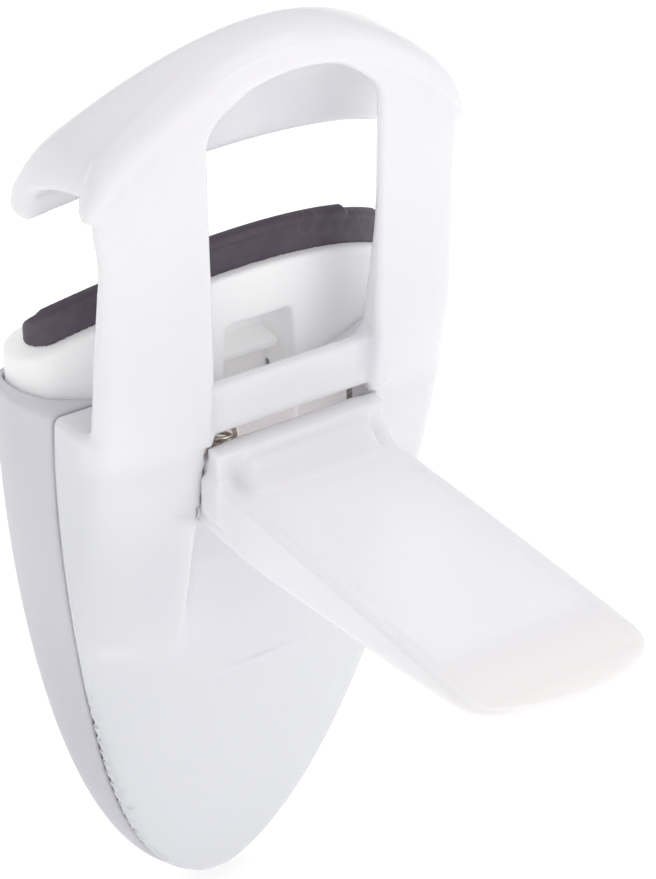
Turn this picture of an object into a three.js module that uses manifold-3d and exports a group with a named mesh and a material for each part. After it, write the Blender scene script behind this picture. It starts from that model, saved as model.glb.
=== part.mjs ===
// Clamp-on door latch and pinch guard, in millimetres, +Z up.
// A translucent front frame carries a hooked upper jaw, a hinged latch arm and a shield-shaped
// cover; an opaque rear housing holds a sprung lower jaw with a rubber pad.
// Origin: the middle of the crossbar's front face. -Y is the front, +Y is the door's side.
import * as THREE from 'three';
import { mergeVertices } from 'three/addons/utils/BufferGeometryUtils.js';
import Module from 'manifold-3d';

const wasm = await Module();
wasm.setup();

// ---------- driving dimensions (mm) ----------
const GAP = 0.3;                 // between pieces that touch
const RUN = 0.5;                 // running clearance of sliding pieces
const WALL = 2.2;                // wall of the two shells

const bodyHalfWidth = 53.7;      // widest half-width of the housing
const bodyWidestZ = -21.5;
const bodyTopZ = -4;             // the housing's top face
const bodyTipZ = -181.5;         // lower tip of the shield
const bodyRearY = 49;            // flat back of the housing
const coverWaist = 0.915;        // cover's half-width at the parting, as a share of the housing's

const frameHalfWidth = 46.1;
const frameTopZ = 86.4;          // front ridge of the frame, at the middle
const frameArch = 0.01272;       // drop of the ridge per mm squared of X
const hoodArch = 0.01202;
const frontFaceY = -5.6;         // front face above the hinge, at the middle
const frontCrown = 0.0036;       // set-back of the front face per mm squared of X
const frontLeanZ = 6;            // the front leans back below this height
const frontLean = 0.19;
const tipDepth = 8.43;           // front to rear at the lower tip
const uprightFootDepth = 8;      // front to back, at the housing's top
const uprightHeadDepth = 3.4;
const uprightHeadZ = 44;

const windowHalfWidth = 21;
const windowShoulderZ = 67;
const windowTopZ = 80.8;
const crossbarTopZ = 5.6;
const crossbarBottomZ = -6.3;
const crossbarDepth = 3.6;
const windowCutBackY = 12;       // the window is cut back to here, short of the hood's hook

const lipBottomZ = 52.9;         // upper jaw's gripping edge, at the middle
const lipArch = 0.0070;
const lipCrown = 0.0081;
const lipPadY = 21.7;            // middle of the rubber strip let into the lip
const lipPadWidth = 2.8;
const lipPadHeight = 1.4;
const lipPadProud = 0.5;
const lipPadHalfLength = 41;

const jawFrontY = 14;            // lower jaw's front face, at the middle
const jawCrown = 0.00844;
const jawThickness = 12;
const jawHalfLength = 50.4;
const jawTopZ = 23.4;
const jawArch = 0.008;
const jawSkirtHalfLength = 43.5;
const jawSkirtZ = -18;
const jawEndZ = -7;
const jawTravel = 40;
const slotHalfWidth = 8.8;       // finger slot in the lower jaw
const slotTopZ = 10.4;
const slotDepth = 15;
const slotBoxWall = 2.4;
const stopPinX = 38;             // cross pins that hold the jaw under the housing's top
const stopPinRadius = 1.4;
const stopPinProud = 2.4;

const padInset = 2.25;
const padEndInset = 3.7;
const padThickness = 7.6;
const padTopZ = 33;
const padFallAngle = 40;         // the pad's top falls away behind its front bead, in degrees
const padBeadHeight = 2.2;
const padBeadProud = 0.8;
const padBeadDepth = 2.6;

const armHalfWidth = 21.8;
const armSideClearance = 1.2;
const armReachY = -112;          // tip of the latch arm, at the middle
const armTipCornerY = -105.5;
const armTipZ = -9.9;
const armTipThickness = 1.6;
const armBendY = -60;            // where the blade's long curves are steered from
const armBendTopZ = -12.6;
const armBendUnderZ = -23.5;
const armRootY = -14.4;
const armRootTopZ = -16.6;
const armRootUnderZ = -31.2;
const armHollowY = [-88, -9];    // the blade is hollow underneath between these
const wingFrontY = -5.2;         // cross wall that closes the slit in front of the return spring
const wingBackY = -0.4;
const wingTopZ = -9.4;
const armWall = 2.3;
const armKnuckleY = -2.7;        // middle of the round hump at the arm's root
const armKnuckleZ = -21.6;
const armKnuckleRadius = 11.5;
const armKnuckleHalfLength = 17;
const hingeY = 6.2;
const hingeZ = -29;
const barrelRadius = 4.2;
const pinRadius = 1.25;
const bearingWall = 4;
const hatchBottomZ = -34.2;      // lower edge of the hinge opening
const scoopFlatZ = -50;
const scoopBottomZ = -87.5;
const scoopWall = 1.6;

const returnSpringX = -15.7;     // middle of the arm's return spring, which stands behind the slit
const returnSpringY = 4.4;
const returnSpringZ = -16.2;     // its lower end
const returnSpringLength = 7.6;
const returnSpringRadius = 3.3;
const returnSpringWire = 1;
const returnSpringTurns = 4;

const springX = 30;
const springRadius = 3.7;
const springWire = 1.2;
const springTurns = 10;
const springPocketTopZ = 6;
const shelfZ = -72;              // top of the chassis's spring shelf
const shelfThickness = 2.5;
const shelfHalfWidth = 42;
const rodRadius = 1.75;
const rodTopZ = -36;
const washerThickness = 1;

const webHalfWidth = 22;
const webThickness = 1.6;
const webTopZ = -8.5;
const railWidth = 5;
const railClearance = 0.8;       // from the rails to the jaw's face, at the middle
const railDepth = 2.4;

// X and Z of the housing's screws, left and right alike
const screws = [[0.67 * bodyHalfWidth, 0.474 * bodyTipZ], [0.372 * bodyHalfWidth, 0.804 * bodyTipZ]];
const screwRadius = 1.4;
const screwHeadRadius = 2.9;
const screwHeadHeight = 2.2;
const bossRadius = 3.3;
const screwSeatY = 44;
const screwTipCover = 3.6;

// ---------- worked-out sizes ----------
const leanDrop = frontLeanZ - bodyTipZ;
const frontLeanGrowth = (bodyRearY - tipDepth - frontFaceY - frontLean * leanDrop) / leanDrop ** 2;
const scoopFloorY = hingeY + barrelRadius + GAP;   // floor of the hollow that takes the arm's root
const webY = hingeY + barrelRadius + RUN;
const railY = jawFrontY - railClearance;
const hatchHalfWidth = armHalfWidth + armSideClearance;
const jawMiddleY = jawFrontY + jawThickness / 2;
const springY = jawMiddleY + jawCrown * springX ** 2;
const bodyDrop = bodyWidestZ - bodyTipZ;
const stopPinZ = bodyTopZ - WALL - stopPinRadius - RUN;
const MANY = 200;                // longer than anything it cuts
const [cutFrontY, cutBackY] = [-60, 90];   // beyond the jaw's faces, front and back
const [cutLowZ, cutHighZ] = [-20, 60];     // beyond the pad's faces, below and above

// ---------- helpers ----------
const clamp01 = (t) => Math.min(1, Math.max(0, t));
const smooth = (t) => clamp01(t) ** 2 * (3 - 2 * clamp01(t));

/** A three.js geometry as a solid that can be joined and cut. */
function solid(geometry) {
  const bare = geometry.clone();
  bare.deleteAttribute('normal');
  bare.deleteAttribute('uv');
  const merged = mergeVertices(bare, 1e-4);
  const index = merged.index.array;
  const faces = [];
  for (let i = 0; i < index.length; i += 3) {
    const [a, b, c] = index.slice(i, i + 3);
    if (a !== b && b !== c && c !== a) faces.push(a, b, c);
  }
  return new wasm.Manifold(new wasm.Mesh({
    numProp: 3,
    vertProperties: new Float32Array(merged.attributes.position.array),
    triVerts: new Uint32Array(faces),
  }));
}

function geometryOf(body) {
  const mesh = body.getMesh();
  const geometry = new THREE.BufferGeometry();
  geometry.setAttribute('position', new THREE.BufferAttribute(new Float32Array(mesh.vertProperties), 3));
  geometry.setIndex(new THREE.BufferAttribute(new Uint32Array(mesh.triVerts), 1));
  geometry.computeVertexNormals();
  return geometry;
}

/** Moves every vertex of a geometry by a rule on its place. */
function warp(geometry, rule) {
  const place = geometry.attributes.position;
  const point = new THREE.Vector3();
  for (let i = 0; i < place.count; i += 1) {
    point.fromBufferAttribute(place, i);
    rule(point);
    place.setXYZ(i, point.x, point.y, point.z);
  }
  return geometry;
}

/** Extrudes a front-view outline (X, Z) from y0 back to y1. */
function alongY(shape, y0, y1, curveSegments = 10) {
  const geometry = new THREE.ExtrudeGeometry(shape, { depth: y1 - y0, bevelEnabled: false, curveSegments });
  return geometry.rotateX(Math.PI / 2).translate(0, y1, 0);
}

/** Extrudes a side-view profile (Y, Z) from x0 to x1, in steps that a warp can bend. */
function alongX(shape, x0, x1, steps = 1, curveSegments = 6) {
  const settings = { depth: x1 - x0, steps, bevelEnabled: false, curveSegments };
  const geometry = new THREE.ExtrudeGeometry(shape, settings);
  const turn = new THREE.Matrix4().makeBasis(
    new THREE.Vector3(0, 1, 0), new THREE.Vector3(0, 0, 1), new THREE.Vector3(1, 0, 0));
  return geometry.applyMatrix4(turn).translate(x0, 0, 0);
}

/** Extrudes a plan outline (X, Y) from z0 up to z1. */
function alongZ(shape, z0, z1, curveSegments = 10) {
  const geometry = new THREE.ExtrudeGeometry(shape, { depth: z1 - z0, bevelEnabled: false, curveSegments });
  return geometry.translate(0, 0, z0);
}

function polygon(points) {
  return new THREE.Shape(points.map(([a, b]) => new THREE.Vector2(a, b)));
}

function block(x0, x1, y0, y1, z0, z1) {
  const box = new THREE.BoxGeometry(x1 - x0, y1 - y0, z1 - z0);
  return solid(box.translate((x0 + x1) / 2, (y0 + y1) / 2, (z0 + z1) / 2));
}

/** A cylinder along X, Y or Z between two stations. */
function rod(axis, radius, from, to, a, b, sides = 20) {
  const cylinder = new THREE.CylinderGeometry(radius, radius, to - from, sides);
  const middle = (from + to) / 2;
  if (axis === 'x') return solid(cylinder.rotateZ(-Math.PI / 2).translate(middle, a, b));
  if (axis === 'y') return solid(cylinder.translate(a, middle, b));
  return solid(cylinder.rotateX(Math.PI / 2).translate(a, b, middle));
}

/** A closed skin through rings of equal count, with a flat fan over each end. */
function loft(rings) {
  const count = rings[0].length;
  const places = rings.flat().flatMap((p) => [p.x, p.y, p.z]);
  const faces = [];
  for (let r = 0; r + 1 < rings.length; r += 1) {
    for (let i = 0; i < count; i += 1) {
      const a = r * count + i;
      const b = r * count + ((i + 1) % count);
      faces.push(a, b, b + count, a, b + count, a + count);
    }
  }
  const ends = [[rings[0], 0, true], [rings.at(-1), (rings.length - 1) * count, false]];
  for (const [ring, start, first] of ends) {
    const middle = ring.reduce((sum, p) => sum.add(p), new THREE.Vector3()).divideScalar(count);
    const hub = places.length / 3;
    places.push(middle.x, middle.y, middle.z);
    for (let i = 0; i < count; i += 1) {
      const a = start + i;
      const b = start + ((i + 1) % count);
      faces.push(...(first ? [hub, b, a] : [hub, a, b]));
    }
  }
  const geometry = new THREE.BufferGeometry();
  geometry.setAttribute('position', new THREE.Float32BufferAttribute(places, 3));
  geometry.setIndex(faces);
  return geometry;
}

class Helix extends THREE.Curve {
  constructor(radius, length, turns) {
    super();
    Object.assign(this, { radius, length, turns });
  }

  getPoint(t, target = new THREE.Vector3()) {
    const angle = t * this.turns * 2 * Math.PI;
    return target.set(this.radius * Math.cos(angle), this.radius * Math.sin(angle), t * this.length);
  }
}

/** A coil of round wire standing on Z from 0. */
function coil(radius, length, turns, wire) {
  const section = new THREE.Shape();
  section.absarc(0, 0, wire / 2, 0, 2 * Math.PI);
  const path = new Helix(radius, length - wire, turns);
  const settings = { steps: turns * 12, curveSegments: 3, bevelEnabled: false, extrudePath: path };
  return new THREE.ExtrudeGeometry(section, settings).translate(0, 0, wire / 2);
}

const model = new THREE.Group();

function add(name, geometry, color, roughness, metalness = 0, opacity = 1) {
  const settings = { color, roughness, metalness, opacity, transparent: opacity < 1 };
  const mesh = new THREE.Mesh(geometry, new THREE.MeshStandardMaterial(settings));
  mesh.name = name;
  model.add(mesh);
}

// ---------- shared surfaces ----------
/** Front face of the frame and the cover, on the middle line, at a height. */
function frontY(z) {
  const below = Math.max(0, frontLeanZ - z);
  return frontFaceY + frontLean * below + frontLeanGrowth * below ** 2;
}

function bodyHalf(z) {
  return bodyHalfWidth * Math.sqrt(Math.max(0, 1 - ((z - bodyWidestZ) / bodyDrop) ** 2));
}

/** Where the cover meets the housing, seen from the side. */
function partingY(z) {
  const share = 0.5 - 0.2 * smooth((bodyTopZ - z) / 106);
  return frontY(z) + share * (bodyRearY - frontY(z));
}

/** Tip of a housing screw, which stops short of the cover's outer skin. */
function screwTipY(x, z) {
  return frontY(z) + frontCrown * x ** 2 + screwTipCover;
}

/** One plan section of the shield, set in by a wall. */
function bodyRing(z, inset) {
  const half = Math.max(bodyHalf(z) - inset, 0.4);
  const waist = half * coverWaist;
  const front = frontY(z) + inset;
  const rear = bodyRearY - inset;
  const parting = Math.min(partingY(z), rear - 1.2);
  const corner = waist * 0.84;
  const limb = parting + 0.6 * (rear - parting);
  const points = [];
  for (let i = 0; i <= 8; i += 1) {
    const x = corner * (i / 4 - 1);
    points.push([x, front + frontCrown * x ** 2]);
  }
  const edge = front + frontCrown * corner ** 2;
  points.push([corner + 0.6 * (waist - corner), edge + 0.12 * (parting - edge)]);
  points.push([corner + 0.9 * (waist - corner), edge + 0.4 * (parting - edge)]);
  points.push([waist, parting], [half, limb], [half - 0.03 * half, rear - 0.12 * (rear - parting)]);
  points.push([half - 0.09 * half, rear]);
  for (let i = points.length - 1; i >= 9; i -= 1) points.push([-points[i][0], points[i][1]]);
  return points.map(([x, y]) => new THREE.Vector3(x, y, z));
}

function bodyLoft(inset) {
  const top = bodyTopZ - inset;
  const tip = bodyTipZ + inset * 1.6;
  const rings = [];
  const count = 22;
  for (let i = 0; i <= count; i += 1) {
    const t = i / count;
    rings.push(bodyRing(top + (tip - top) * Math.sin((t * Math.PI) / 2) * 0.999, inset));
  }
  return solid(loft(rings.reverse()));
}

/** Everything behind the parting line, moved back by an offset. */
function behindParting(offset) {
  const points = [[MANY, -MANY], [MANY, MANY], [partingY(0) + offset, MANY]];
  const count = 16;
  for (let i = 0; i <= count; i += 1) {
    const z = (bodyTipZ - 2) * (i / count);
    points.push([partingY(z) + offset, z]);
  }
  points.push([partingY(bodyTipZ) + offset, -MANY]);
  return solid(alongX(polygon(points), -MANY, MANY));
}

/** A curved bar in plan: crowned faces and round ends. */
function jawPlan(frontAt, thickness, halfLength) {
  const radius = thickness / 2;
  const end = halfLength - radius;
  const shape = new THREE.Shape();
  const face = (x, offset) => frontAt + offset + jawCrown * x ** 2;
  const steps = 14;
  shape.moveTo(-end, face(end, 0));
  for (let i = 1; i <= steps; i += 1) {
    const x = end * ((2 * i) / steps - 1);
    shape.lineTo(x, face(x, 0));
  }
  shape.absarc(end, face(end, radius), radius, -Math.PI / 2, Math.PI / 2);
  for (let i = steps - 1; i >= 1; i -= 1) {
    const x = end * ((2 * i) / steps - 1);
    shape.lineTo(x, face(x, thickness));
  }
  shape.absarc(-end, face(end, radius), radius, Math.PI / 2, (3 * Math.PI) / 2);
  return shape;
}

/** A front-view band between a floor and an arched top. */
function archedOutline(halfWidth, bottom, topMiddle, arch) {
  const shape = new THREE.Shape();
  const side = topMiddle - arch * halfWidth ** 2;
  shape.moveTo(-halfWidth, bottom);
  shape.lineTo(halfWidth, bottom);
  shape.lineTo(halfWidth, side);
  shape.quadraticCurveTo(0, 2 * topMiddle - side, -halfWidth, side);
  return shape;
}

/** Bends a straight hood profile into the arch of the lip and the crown of the frame. */
function bendHood(p) {
  const up = smooth((p.z - lipBottomZ) / (windowTopZ + 1.2 - lipBottomZ));
  const back = smooth((p.y - frontFaceY) / (lipPadY - 4.1 - frontFaceY));
  p.z -= p.x ** 2 * (lipArch + (hoodArch - lipArch) * up);
  p.y += p.x ** 2 * (frontCrown + (lipCrown - frontCrown) * back);
}

// ---------- front frame: hood, uprights, crossbar and cover in one moulding ----------
function hood() {
  const inside = windowTopZ;
  const profile = polygon([
    [frontFaceY + 0.2, inside], [frontFaceY + 0.2, frameTopZ - 2.4], [frontFaceY + 1.6, frameTopZ + 0.6],
    [frontFaceY + 7.6, frameTopZ + 2.4], [frontFaceY + 13.9, frameTopZ + 1.8],
    [lipPadY - 7.7, frameTopZ - 2.9], [lipPadY - 3.5, frameTopZ - 9.9], [lipPadY + 0.8, lipBottomZ + 14.1],
    [lipPadY + 4, lipBottomZ + 4.1], [lipPadY + 4.2, lipBottomZ + 1.4], [lipPadY + 2.3, lipBottomZ],
    [lipPadY - 2.2, lipBottomZ],
    [lipPadY - 4.1, lipBottomZ + 1.6], [lipPadY - 6.1, lipBottomZ + 9.1], [lipPadY - 9.2, inside - 10.8],
    [lipPadY - 14.7, inside - 3.8], [frontFaceY + 5.6, inside - 0.3],
  ].reverse());
  const shell = solid(warp(alongX(profile, -frameHalfWidth, frameHalfWidth, 20), bendHood));
  return shell.subtract(lipStrip(GAP));
}

/** The rubber strip under the lip, or its groove when grown by a gap. */
function lipStrip(grow) {
  const half = lipPadWidth / 2 + grow;
  const low = lipBottomZ - lipPadProud - grow * 4;
  const high = lipBottomZ - lipPadProud + lipPadHeight + grow;
  const section = polygon([
    [lipPadY - half, low], [lipPadY + half, low], [lipPadY + half, high], [lipPadY - half, high],
  ]);
  const reach = lipPadHalfLength + grow;
  return solid(warp(alongX(section, -reach, reach, 20), bendHood));
}

function uprights() {
  const points = [];
  const rows = 12;
  const low = bodyTopZ - 6;
  for (let i = 0; i <= rows; i += 1) {
    const z = low + ((frameTopZ - low) * i) / rows;
    points.push([frontY(z), z]);
  }
  for (let i = rows; i >= 0; i -= 1) {
    const z = low + ((frameTopZ - low) * i) / rows;
    const taper = smooth(z / uprightHeadZ);
    points.push([frontY(z) + uprightFootDepth + (uprightHeadDepth - uprightFootDepth) * taper, z]);
  }
  const plate = warp(alongX(polygon(points.reverse()), -frameHalfWidth - 4, frameHalfWidth + 4, 20), (p) => {
    p.y += frontCrown * p.x ** 2;
  });
  const outline = new THREE.Shape();
  const shoulderX = frameHalfWidth - 5;
  const shoulderZ = frameTopZ - frameArch * shoulderX ** 2;
  outline.moveTo(-frameHalfWidth, low - 2);
  outline.lineTo(frameHalfWidth, low - 2);
  outline.lineTo(frameHalfWidth, shoulderZ - 12);
  outline.quadraticCurveTo(frameHalfWidth, shoulderZ - 4, shoulderX, shoulderZ);
  outline.quadraticCurveTo(0, 2 * frameTopZ - shoulderZ, -shoulderX, shoulderZ);
  outline.quadraticCurveTo(-frameHalfWidth, shoulderZ - 4, -frameHalfWidth, shoulderZ - 12);
  return solid(plate).intersect(solid(alongY(outline, -MANY, MANY)));
}

function windowCut() {
  const shape = new THREE.Shape();
  const inner = windowHalfWidth - 2;
  const archZ = windowShoulderZ + 4;
  shape.moveTo(-windowHalfWidth, bodyTopZ - 8);
  shape.lineTo(windowHalfWidth, bodyTopZ - 8);
  shape.lineTo(windowHalfWidth, windowShoulderZ);
  shape.quadraticCurveTo(windowHalfWidth, archZ - 1, inner, archZ);
  shape.quadraticCurveTo(0, 2 * windowTopZ - archZ, -inner, archZ);
  shape.quadraticCurveTo(-windowHalfWidth, archZ - 1, -windowHalfWidth, windowShoulderZ);
  return solid(alongY(shape, -MANY, windowCutBackY));
}

const shieldOuter = bodyLoft(0);
const shieldInner = bodyLoft(WALL);

function jawOpening() {
  const top = bodyTopZ + 10;
  const plan = jawPlan(jawFrontY - RUN, jawThickness + 2 * RUN, jawHalfLength + RUN);
  const bar = solid(alongZ(plan, jawSkirtZ, top));
  const boxX = slotHalfWidth + slotBoxWall + RUN;
  const boxBack = jawFrontY + slotDepth + slotBoxWall + RUN;
  return bar.add(block(-boxX, boxX, jawMiddleY, boxBack, jawSkirtZ, top));
}

/** The hollow below the hinge, or with a wall and a wider half, the cup around it. */
function scoop(wall, halfWidth) {
  const points = [];
  const rows = 8;
  for (let i = 0; i <= rows; i += 1) {
    const z = scoopFlatZ + (scoopBottomZ - scoopFlatZ) * (i / rows);
    const slope = (frontY(scoopBottomZ) - scoopFloorY) / (scoopFlatZ - scoopBottomZ);
    points.push([scoopFloorY + slope * (scoopFlatZ - z) + wall, z]);
  }
  const top = hatchBottomZ + 1;
  const outline = [[scoopFloorY + wall, top], ...points, [-MANY, scoopBottomZ], [-MANY, top]];
  return solid(alongX(polygon(outline.reverse()), -halfWidth, halfWidth));
}

function frontFrame() {
  const shell = shieldOuter.subtract(shieldInner).subtract(behindParting(0));
  const barX = windowHalfWidth + 3;
  const crossbar = block(-barX, barX, 0, crossbarDepth, crossbarBottomZ, crossbarTopZ);
  const above = block(-MANY, MANY, -MANY, MANY, bodyTopZ - WALL, MANY);
  let frame = uprights().subtract(windowCut()).add(hood()).intersect(above).add(shell);
  frame = frame.subtract(block(-windowHalfWidth, windowHalfWidth, -MANY, 0, crossbarBottomZ, bodyTopZ + 1));
  frame = frame.add(crossbar).subtract(jawOpening());
  const cupHalf = hatchHalfWidth + scoopWall;
  frame = frame.add(scoop(scoopWall, cupHalf).intersect(shieldOuter));
  for (const side of [-1, 1]) {
    const [x0, x1] = [side * hatchHalfWidth, side * (hatchHalfWidth + bearingWall)].sort((a, b) => a - b);
    const cheek = block(x0, x1, -10, hingeY + 3.4, hatchBottomZ - 1, crossbarBottomZ);
    frame = frame.add(cheek.intersect(shieldOuter));
    for (const [x, z] of screws) {
      const boss = rod('y', bossRadius, frontY(z) + 1, screwSeatY - 4.5, side * x, z);
      frame = frame.add(boss.intersect(shieldOuter));
      frame = frame.subtract(rod('y', screwRadius + 0.1, screwTipY(x, z) - 1, MANY, side * x, z));
    }
  }
  const half = hatchHalfWidth;
  frame = frame.subtract(block(-half, half, -MANY, jawFrontY, hatchBottomZ, crossbarBottomZ));
  frame = frame.subtract(scoop(0, hatchHalfWidth));
  const pinBore = hatchHalfWidth + bearingWall;
  return frame.subtract(rod('x', pinRadius + 0.1, -pinBore, pinBore, hingeY, hingeZ));
}

// ---------- rear housing ----------
/** Relief in the housing's wall that the jaw's ends run down into. */
function jawRunway() {
  const plan = jawPlan(jawFrontY - RUN, jawThickness + 2 * RUN, jawHalfLength + RUN);
  return solid(alongZ(plan, jawEndZ - jawTravel - 2 * RUN, bodyTopZ - WALL + RUN));
}

function rearHousing() {
  let shell = shieldOuter.subtract(shieldInner).intersect(behindParting(GAP)).subtract(jawOpening());
  shell = shell.subtract(jawRunway());
  for (const side of [-1, 1]) {
    for (const [x, z] of screws) {
      shell = shell.add(rod('y', bossRadius + 1.4, screwSeatY - 4, bodyRearY - 1, side * x, z));
      shell = shell.subtract(rod('y', screwHeadRadius + 0.4, screwSeatY, MANY, side * x, z));
      shell = shell.subtract(rod('y', screwRadius + 0.3, 0, MANY, side * x, z));
    }
  }
  return shell;
}

// ---------- chassis inside the housing ----------
function chassis() {
  const room = bodyLoft(WALL + GAP);
  const bottom = shelfZ - shelfThickness;
  const webLow = hatchBottomZ + 2;
  const skirtLowZ = jawSkirtZ - jawTravel;
  let body = block(-shelfHalfWidth, shelfHalfWidth, webY, bodyRearY, bottom, shelfZ);
  body = body.add(block(-webHalfWidth, webHalfWidth, webY, webY + webThickness, webLow, webTopZ));
  for (const side of [-1, 1]) {
    body = body.subtract(rod('z', rodRadius + 0.3, -MANY, MANY, side * springX, springY));
    const [x0, x1] = [side * (webHalfWidth - railWidth), side * webHalfWidth].sort((a, b) => a - b);
    const rail = block(x0, x1, railY, railY + railDepth, bottom, webTopZ);
    const head = block(x0, x1, webY, railY + railDepth, webLow, webTopZ);
    const foot = block(x0, x1, railY, railY + 9, bottom, skirtLowZ - 1.5);
    body = body.add(rail).add(head).add(foot);
    body = body.subtract(block(side * 8 - 0.6, side * 8 + 0.6, webY - 1, webY + 0.5, webLow, webTopZ + 1));
  }
  const cupHalf = hatchHalfWidth + scoopWall + GAP;
  return body.intersect(room).subtract(scoop(scoopWall + GAP, cupHalf));
}

// ---------- lower jaw and its pad ----------
function slidingJaw() {
  const bar = solid(alongZ(jawPlan(jawFrontY, jawThickness, jawHalfLength), jawSkirtZ, jawTopZ + 1));
  const boxX = slotHalfWidth + slotBoxWall;
  const boxTop = slotTopZ + slotBoxWall;
  const slotBox = block(-boxX, boxX, jawMiddleY, jawFrontY + slotDepth + slotBoxWall, jawSkirtZ, boxTop);
  const outline = new THREE.Shape();
  const side = jawTopZ - jawArch * jawHalfLength ** 2;
  outline.moveTo(-jawSkirtHalfLength, jawSkirtZ);
  outline.lineTo(jawSkirtHalfLength, jawSkirtZ);
  outline.lineTo(jawSkirtHalfLength, jawEndZ);
  outline.lineTo(jawHalfLength, jawEndZ);
  outline.lineTo(jawHalfLength, side);
  outline.quadraticCurveTo(0, 2 * jawTopZ - side, -jawHalfLength, side);
  outline.lineTo(-jawHalfLength, jawEndZ);
  outline.lineTo(-jawSkirtHalfLength, jawEndZ);
  let jaw = bar.intersect(solid(alongY(outline, cutFrontY, cutBackY, 16))).add(slotBox);
  const slotBottom = jawSkirtZ - 1;
  jaw = jaw.subtract(block(-slotHalfWidth, slotHalfWidth, 0, jawFrontY + slotDepth, slotBottom, slotTopZ));
  const ledgeTop = -1.5;
  jaw = jaw.add(block(-slotHalfWidth - 1, slotHalfWidth + 1, jawFrontY + 7, jawFrontY + slotDepth + 1,
    ledgeTop - 2.5, ledgeTop));
  for (const end of [-1, 1]) {
    const pocket = springRadius + springWire / 2 + RUN;
    jaw = jaw.subtract(rod('z', pocket, jawSkirtZ - 1, springPocketTopZ, end * springX, springY, 24));
    jaw = jaw.subtract(rod('y', stopPinRadius + 0.1, 0, cutBackY, end * stopPinX, stopPinZ));
  }
  return jaw;
}

function jawPad() {
  const upTo = (topZ) => {
    const outline = archedOutline(jawHalfLength, -MANY, topZ, jawArch);
    return solid(alongY(outline, cutFrontY, cutBackY, 16));
  };
  const tall = (plan) => solid(alongZ(plan, cutLowZ, cutHighZ));
  const underBead = upTo(padTopZ - padBeadHeight);
  const underTop = upTo(padTopZ);
  const halfLength = jawHalfLength - padEndInset;
  const front = jawFrontY + padInset;
  let pad = tall(jawPlan(front, padThickness, halfLength)).intersect(underBead);
  const steps = 5;
  for (let i = 0; i < steps; i += 1) {
    const back = padBeadDepth + ((padThickness - padBeadDepth) * i) / steps;
    const drop = padBeadHeight + Math.tan((padFallAngle * Math.PI) / 180) * (back - padBeadDepth + 0.5);
    const level = archedOutline(jawHalfLength, -MANY, padTopZ - drop, jawArch);
    const plan = jawPlan(front + back, MANY / 2, jawHalfLength + MANY / 4);
    pad = pad.subtract(tall(plan).subtract(solid(alongY(level, cutFrontY, 2 * MANY, 16))));
  }
  const wide = padBeadDepth + padBeadProud;
  const bead = tall(jawPlan(front - padBeadProud, wide, halfLength - 1.5));
  pad = pad.add(bead.subtract(underBead).subtract(underBead));
  const beadRoot = tall(jawPlan(front, padBeadDepth, halfLength - 1.5));
  pad = pad.add(beadRoot.intersect(underTop));
  return pad.subtract(upTo(jawTopZ + GAP)).intersect(underTop);
}

// ---------- latch arm ----------
/** Side view of the arm's blade, from its rounded root to its thin tip. */
function bladeProfile() {
  const side = new THREE.Shape();
  const back = hingeY + barrelRadius;
  side.moveTo(back, hingeZ);
  side.lineTo(back - 0.4, hingeZ + 6);
  side.lineTo(hingeY - 2, armRootTopZ - 3);
  side.lineTo(armRootY, armRootTopZ);
  side.quadraticCurveTo(armBendY, armBendTopZ, armReachY, armTipZ);
  side.lineTo(armReachY, armTipZ - armTipThickness);
  side.quadraticCurveTo(armBendY, armBendUnderZ, armRootY - 3.8, armRootUnderZ);
  side.lineTo(hingeY, hingeZ - barrelRadius);
  side.absarc(hingeY, hingeZ, barrelRadius, -Math.PI / 2, 0);
  return side;
}

function latchArm() {
  const plan = new THREE.Shape();
  plan.moveTo(-armHalfWidth, 30);
  plan.lineTo(-armHalfWidth, armTipCornerY);
  plan.quadraticCurveTo(0, 2 * armReachY - armTipCornerY, armHalfWidth, armTipCornerY);
  plan.lineTo(armHalfWidth, 30);
  let arm = solid(alongX(bladeProfile(), -armHalfWidth, armHalfWidth, 1, 10));
  arm = arm.intersect(solid(alongZ(plan, -MANY, MANY)));
  arm = arm.add(block(-armHalfWidth, armHalfWidth, wingFrontY, wingBackY, armRootTopZ - 4, wingTopZ));
  const knuckleEnd = armKnuckleHalfLength;
  const hump = rod('x', armKnuckleRadius, -knuckleEnd, knuckleEnd, armKnuckleY, armKnuckleZ, 40);
  arm = arm.add(hump.intersect(block(-MANY, MANY, -MANY, hingeY + 1, -26, 0)));
  const hollow = new THREE.Shape();
  const inner = armHalfWidth - armWall;
  const [hollowFront, hollowBack] = armHollowY;
  hollow.moveTo(hollowBack, -MANY);
  hollow.lineTo(hollowBack, armRootTopZ - 1.9 - armWall);
  hollow.lineTo(armRootY, armRootTopZ - armWall);
  hollow.quadraticCurveTo(armBendY + 4, armBendTopZ - 0.4 - armWall, hollowFront, armTipZ - 1.3 - armWall);
  hollow.lineTo(hollowFront, -MANY);
  arm = arm.subtract(solid(alongX(hollow, -inner, inner, 1, 8)));
  const reach = returnSpringRadius + returnSpringWire / 2 + RUN;
  arm = arm.subtract(block(returnSpringX - reach, returnSpringX + reach, returnSpringY - reach, 20,
    returnSpringZ - RUN, 0));
  return arm.subtract(rod('x', pinRadius + 0.1, -MANY, MANY, hingeY, hingeZ));
}

// ---------- assembly ----------
const MILKY = 0xeeeef4;
add('front_frame', geometryOf(frontFrame()), MILKY, 0.28, 0, 0.92);
add('rear_housing', geometryOf(rearHousing()), 0xf2f2f6, 0.4);
add('chassis', geometryOf(chassis()), 0xe9e9ec, 0.5);
add('sliding_jaw', geometryOf(slidingJaw()), 0xf7f7f8, 0.45);
add('jaw_pad', geometryOf(jawPad()), 0x4d444f, 0.85);
add('lip_pad', geometryOf(lipStrip(0)), 0x4d444f, 0.85);
add('latch_arm', geometryOf(latchArm()), MILKY, 0.25, 0, 0.92);

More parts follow.
